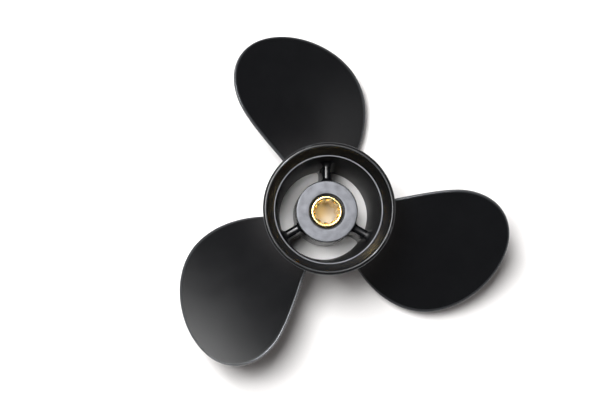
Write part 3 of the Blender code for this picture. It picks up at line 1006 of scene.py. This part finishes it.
def ring_marks(tree, place):
    """Uneven rings round the shaft's axis, from 0 to 1."""
    across, radius = from_shaft(tree, place)
    direction = add_node(tree, "ShaderNodeVectorMath", {0: across}, operation="NORMALIZE")
    spread = add_node(
        tree, "ShaderNodeVectorMath", {0: direction, "Scale": FEED_MARK_SPREAD}, operation="SCALE",
    )
    step = add_node(tree, "ShaderNodeMath", {0: radius, 1: FEED_MARK_WIDTH}, operation="DIVIDE")
    lifted = add_node(tree, "ShaderNodeCombineXYZ", {"Z": step})
    point = add_node(tree, "ShaderNodeVectorMath", {0: spread, 1: lifted}, operation="ADD")
    return add_node(
        tree, "ShaderNodeTexNoise", {"Vector": point, "Scale": 1, "Detail": 3, "Roughness": 0.65},
    )


print(f"feed marks {FEED_MARK_WIDTH / MM} mm apart")

# %% [markdown]
# ## Bare aluminium, face-turned
# The nut's washer rests on the rear face of the inner hub, so the paint is cut away there on a lathe, and
# so it is on the ledge in the bore. Freshly cut aluminium is a bright metal, but in the open it grows a
# dull oxide and takes up dirt in its grooves. It then looks mid-grey and spreads the light widely, which
# a dark base and a roughness near 0.5 give. Stains from cutting oil and fingers make it a little uneven.
#
# The sleeve's brass differs from it only in values: on both, tool marks shift the colour and groove the
# surface, and the metal has dulled in patches. So the nodes are laid by a function that makes either.

# %% Face-turned aluminium
def cut_metal(
    name, marks_on, mark_height, colours, roughness, patch_colour, patch_width, patch_detail, patch_range,
):
    """A metal with tool marks, and with patches where a noise is high in its range."""
    finish, tree, shader, place = new_finish(name)
    marks = marks_on(tree, place)
    noise = add_node(
        tree, "ShaderNodeTexNoise",
        {"Vector": place, "Scale": 1 / patch_width, "Detail": patch_detail, "Roughness": 0.6},
    )
    dulled = add_node(tree, "ShaderNodeMapRange", {"Value": noise, **patch_range})
    clean = add_node(
        tree, "ShaderNodeMix", {FACTOR: marks, **colours}, output=MIXED_COLOUR, data_type="RGBA",
    )
    colour = add_node(
        tree, "ShaderNodeMix",
        {FACTOR: dulled, FIRST_COLOUR: clean, SECOND_COLOUR: patch_colour},
        output=MIXED_COLOUR, data_type="RGBA",
    )
    uneven_roughness = add_node(
        tree, "ShaderNodeMapRange", {"Value": noise, **NOISE_STRETCH, **roughness},
    )
    grooves = add_node(tree, "ShaderNodeBump", {"Height": marks, "Distance": mark_height})
    fill(shader, {"Base Color": colour, "Metallic": 1, "Roughness": uneven_roughness, "Normal": grooves})
    return finish


FEED_MARK_HEIGHT = 0.0003 * MM
OXIDE_STAIN_WIDTH = 5 * MM

casting.data.materials.append(cut_metal(
    "face_turned_aluminium", ring_marks, FEED_MARK_HEIGHT,
    colours={FIRST_COLOUR: linear("#56575A"), SECOND_COLOUR: linear("#64656A")},
    roughness={"To Min": 0.46, "To Max": 0.54},
    patch_colour=linear("#4A4B4E"), patch_width=OXIDE_STAIN_WIDTH, patch_detail=5,
    patch_range={"From Min": 0.45, "From Max": 0.75, "To Max": 0.5},
))
print("finish:", casting.data.materials[1].name)

# %% [markdown]
# ## Which faces are bare
# The casting is one mesh with two finishes, so its faces are sorted: those that lie flat at the height
# of the inner hub's end or of the ledge are machined, and the rest is painted. Picked by hand, they
# would have to be picked again after each change to the mesh.

# %% Machined faces
MACHINED_FACES = ((INNER_REAR, MACHINED_RADIUS), (BORE_REAR, BORE_REAR_RADIUS + LEDGE_WIDTH))


def is_machined(face):
    """Whether a face lies flat at the height of a machined face, within its radius."""
    return any(
        abs(face.center.z - height) < SAME_PLACE and face.center.to_2d().length < radius
        for height, radius in MACHINED_FACES
    )


machined = [face for face in casting.data.polygons if is_machined(face)]
for face in machined:
    face.material_index = 1
print("machined faces:", len(machined))

# %% [markdown]
# ## Marks of lathe and broach
# The sleeve's end is turned, so it has rings, and the broach leaves straight marks along the teeth.
# The faces could be given two materials, as on the casting, but the brass is the same, so the shader
# tells the marks apart: rings where a face looks along the shaft, and elsewhere a noise stretched
# along it.

# %% Tool marks on the sleeve
BROACH_MARK_WIDTH = 0.25 * MM  # about 0.1 mm in truth, drawn coarser to show
BROACH_MARK_LENGTH = 12 * MM


def sleeve_marks(tree, place):
    """Rings on the ends of the sleeve and streaks along its bore, from 0 to 1."""
    rings = ring_marks(tree, place)
    stretched = add_node(
        tree, "ShaderNodeVectorMath",
        {0: place, 1: (1 / BROACH_MARK_WIDTH, 1 / BROACH_MARK_WIDTH, 1 / BROACH_MARK_LENGTH)},
        operation="MULTIPLY",
    )
    streaks = add_node(tree, "ShaderNodeTexNoise", {"Vector": stretched, "Scale": 1, "Detail": 2})
    normal = add_node(tree, "ShaderNodeNewGeometry", output="Normal")
    facing = add_node(tree, "ShaderNodeSeparateXYZ", {"Vector": normal}, output="Z")
    along_shaft = add_node(tree, "ShaderNodeMath", {0: facing}, operation="ABSOLUTE")
    return add_node(
        tree, "ShaderNodeMix",
        {FACTOR: along_shaft, FIRST_VALUE: streaks, SECOND_VALUE: rings},
        data_type="FLOAT",
    )


print(f"broach marks {BROACH_MARK_WIDTH / MM} mm wide and {BROACH_MARK_LENGTH / MM:.0f} mm long")

# %% [markdown]
# ## Brass, turned outside and broached inside
# The sleeve is free-cutting brass, a metal whose colour is in its reflection: pale yellow in one bounce,
# deep gold where the light bounces from tooth to tooth, which the shader does by itself. Handling gives
# it a thin tarnish in patches, browner than the clean metal.

# %% Brass
BRASS_MARK_HEIGHT = 0.001 * MM
TARNISH_WIDTH = 3 * MM

sleeve.data.materials.append(cut_metal(
    "turned_and_broached_brass", sleeve_marks, BRASS_MARK_HEIGHT,
    colours={FIRST_COLOUR: linear("#ECCF88"), SECOND_COLOUR: linear("#F3DCA2")},
    roughness={"To Min": 0.14, "To Max": 0.22},
    patch_colour=linear("#D2A860"), patch_width=TARNISH_WIDTH, patch_detail=4,
    patch_range={"From Min": 0.5, "From Max": 0.8, "To Max": 0.6},
))
print("finish:", sleeve.data.materials[0].name)

# %% [markdown]
# ## Moulded black rubber
# The bushing is natural rubber, blackened with soot and moulded in a blasted steel mould. It is darker
# and much duller than the paint, with a fine grain from the mould, about 0.2 mm. A pale bloom of wax
# comes out of the rubber in patches.

# %% Rubber
RUBBER_COLOURS = {FIRST_COLOUR: linear("#121212"), SECOND_COLOUR: linear("#242424")}
RUBBER_ROUGHNESS = {"To Min": 0.6, "To Max": 0.72}
RUBBER_IOR = 1.52
MOULD_GRAIN_WIDTH = 0.4 * MM  # about 0.2 mm in truth, drawn coarser to show
MOULD_GRAIN_HEIGHT = 0.02 * MM
BLOOM_WIDTH = 4 * MM


def moulded_rubber():
    finish, tree, shader, place = new_finish("moulded_black_rubber")
    grain = add_node(
        tree, "ShaderNodeTexNoise", {"Vector": place, "Scale": 1 / MOULD_GRAIN_WIDTH, "Detail": 2},
    )
    bloom = add_node(
        tree, "ShaderNodeTexNoise",
        {"Vector": place, "Scale": 1 / BLOOM_WIDTH, "Detail": 4, "Roughness": 0.7},
    )
    colour = add_node(
        tree, "ShaderNodeMix", {FACTOR: bloom, **RUBBER_COLOURS}, output=MIXED_COLOUR, data_type="RGBA",
    )
    roughness = add_node(tree, "ShaderNodeMapRange", {"Value": bloom, **NOISE_STRETCH, **RUBBER_ROUGHNESS})
    moulded = add_node(tree, "ShaderNodeBump", {"Height": grain, "Distance": MOULD_GRAIN_HEIGHT})
    fill(shader, {"Base Color": colour, "Roughness": roughness, "IOR": RUBBER_IOR, "Normal": moulded})
    return finish


bushing.data.materials.append(moulded_rubber())
print("finish:", bushing.data.materials[0].name)

# %% [markdown]
# ## Camera
# The photograph was taken from above, with the camera a little towards the lower left of the hub, so
# the bore's right wall shows more than its left one. The place and the focal length were found by
# laying the model's outline over the blades and the circles of the hub.

# %% Camera
SENSOR_WIDTH = 36  # this and the focal length are in millimetres, as Blender's cameras want them
FOCAL_LENGTH = 96.4
CAMERA_PLACE = (-0.0530, -0.0638, 1.1997)
CAMERA_TURN = (0.0601, -0.0337, 0)

camera_data = bpy.data.cameras.new("camera")
camera_data.sensor_width = SENSOR_WIDTH
camera_data.lens = FOCAL_LENGTH
camera = bpy.data.objects.new("camera", camera_data)
camera.location = CAMERA_PLACE
camera.rotation_euler = CAMERA_TURN
bpy.context.scene.collection.objects.link(camera)
bpy.context.scene.camera = camera
print(f"camera {camera.location.z:.2f} m above the floor")

# %% [markdown]
# ## Floor
# The propeller lies on a sheet of white paper, as wide as the room, so that it fades into white all
# round. Paper scatters light almost evenly. Its fibres give it a very fine grain.

# %% Floor
PAPER_COLOURS = {FIRST_COLOUR: linear("#F1EFEE"), SECOND_COLOUR: linear("#F6F5F4")}
PAPER_ROUGHNESS = 0.9
FLOOR_HALF_WIDTH = 2
FIBRE_WIDTH = 1 * MM  # a few hundredths of a millimetre in truth, drawn coarser
FIBRE_HEIGHT = 0.02 * MM


def white_paper():
    finish, tree, shader, place = new_finish("white_paper")
    fibres = add_node(tree, "ShaderNodeTexNoise", {"Vector": place, "Scale": 1 / FIBRE_WIDTH, "Detail": 3})
    colour = add_node(
        tree, "ShaderNodeMix", {FACTOR: fibres, **PAPER_COLOURS}, output=MIXED_COLOUR, data_type="RGBA",
    )
    pressed = add_node(tree, "ShaderNodeBump", {"Height": fibres, "Distance": FIBRE_HEIGHT})
    fill(shader, {"Base Color": colour, "Roughness": PAPER_ROUGHNESS, "Normal": pressed})
    return finish


floor_maker = bmesh.new()
bmesh.ops.create_grid(floor_maker, size=FLOOR_HALF_WIDTH)
floor = add_piece("floor", floor_maker)
floor.data.materials.append(white_paper())
print("floor:", 2 * FLOOR_HALF_WIDTH, "m wide")

# %% [markdown]
# ## Light
# Black paint is lit by what it reflects, so the lights are placed for their reflections first. The key
# softbox hangs high over the upper left. It throws the short shadows to the lower right, shines through
# the hub's passages onto the paper, and draws a bright line wherever an edge is rounded through the
# level: on the lip, the ribs and the blades' trailing edges. A second, lower box stands for a window and
# is mirrored by the outer half of the left blade. A weak one at the right lifts the inner side of the
# top blade. One large lamp would light the paper as well, but black paint would show it as one patch.

# %% Softboxes
LIGHT_DISTANCE = 1.6


def softbox(name, azimuth, elevation, size, power):
    """A square light that looks at the hub from a direction, given in degrees."""
    data = bpy.data.lights.new(name, "AREA")
    data.shape = "SQUARE"
    data.size = size
    data.energy = power
    light = bpy.data.objects.new(name, data)
    a, e = math.radians(azimuth), math.radians(elevation)
    away = Vector((math.cos(a) * math.cos(e), math.sin(a) * math.cos(e), math.sin(e)))
    light.location = away * LIGHT_DISTANCE
    light.rotation_euler = away.to_track_quat("Z", "Y").to_euler()
    bpy.context.scene.collection.objects.link(light)


softbox("key", azimuth=143, elevation=75, size=0.56, power=34)
softbox("window", azimuth=130, elevation=50, size=0.35, power=8)
softbox("right", azimuth=5, elevation=22, size=0.5, power=0.5)

# %% [markdown]
# ## The room
# Pale walls far away keep the paint from going black. They are a glow in the world's background, bright
# at the horizon and dim overhead, since walls stand low round the paper.
#
# The paper below the bore is lit by light that bounces down the brass. Cycles blurs such bounces to save
# time, which would leave it dark, so that blur is set to nothing.

# %% Room glow
GLOW_COLOUR = linear("#FFF7F6")
HORIZON_TOP = math.sin(math.radians(20))
HORIZON_LIGHT = 1
ROOM_LIGHT = 0.08

world = bpy.data.worlds.new("studio")
world.use_nodes = True
sky = world.node_tree
direction = add_node(sky, "ShaderNodeTexCoord")
height = add_node(sky, "ShaderNodeSeparateXYZ", {"Vector": direction}, output="Z")
glow = add_node(
    sky, "ShaderNodeMapRange",
    {"Value": height, "From Min": 0, "From Max": HORIZON_TOP, "To Min": HORIZON_LIGHT, "To Max": ROOM_LIGHT},
    interpolation_type="SMOOTHSTEP",
)
fill(sky.nodes["Background"], {"Color": GLOW_COLOUR, "Strength": glow})
bpy.context.scene.world = world
bpy.context.scene.view_settings.view_transform = "Standard"
bpy.context.scene.cycles.blur_glossy = 0
print(f"glow {HORIZON_LIGHT} at the horizon and {ROOM_LIGHT} overhead")
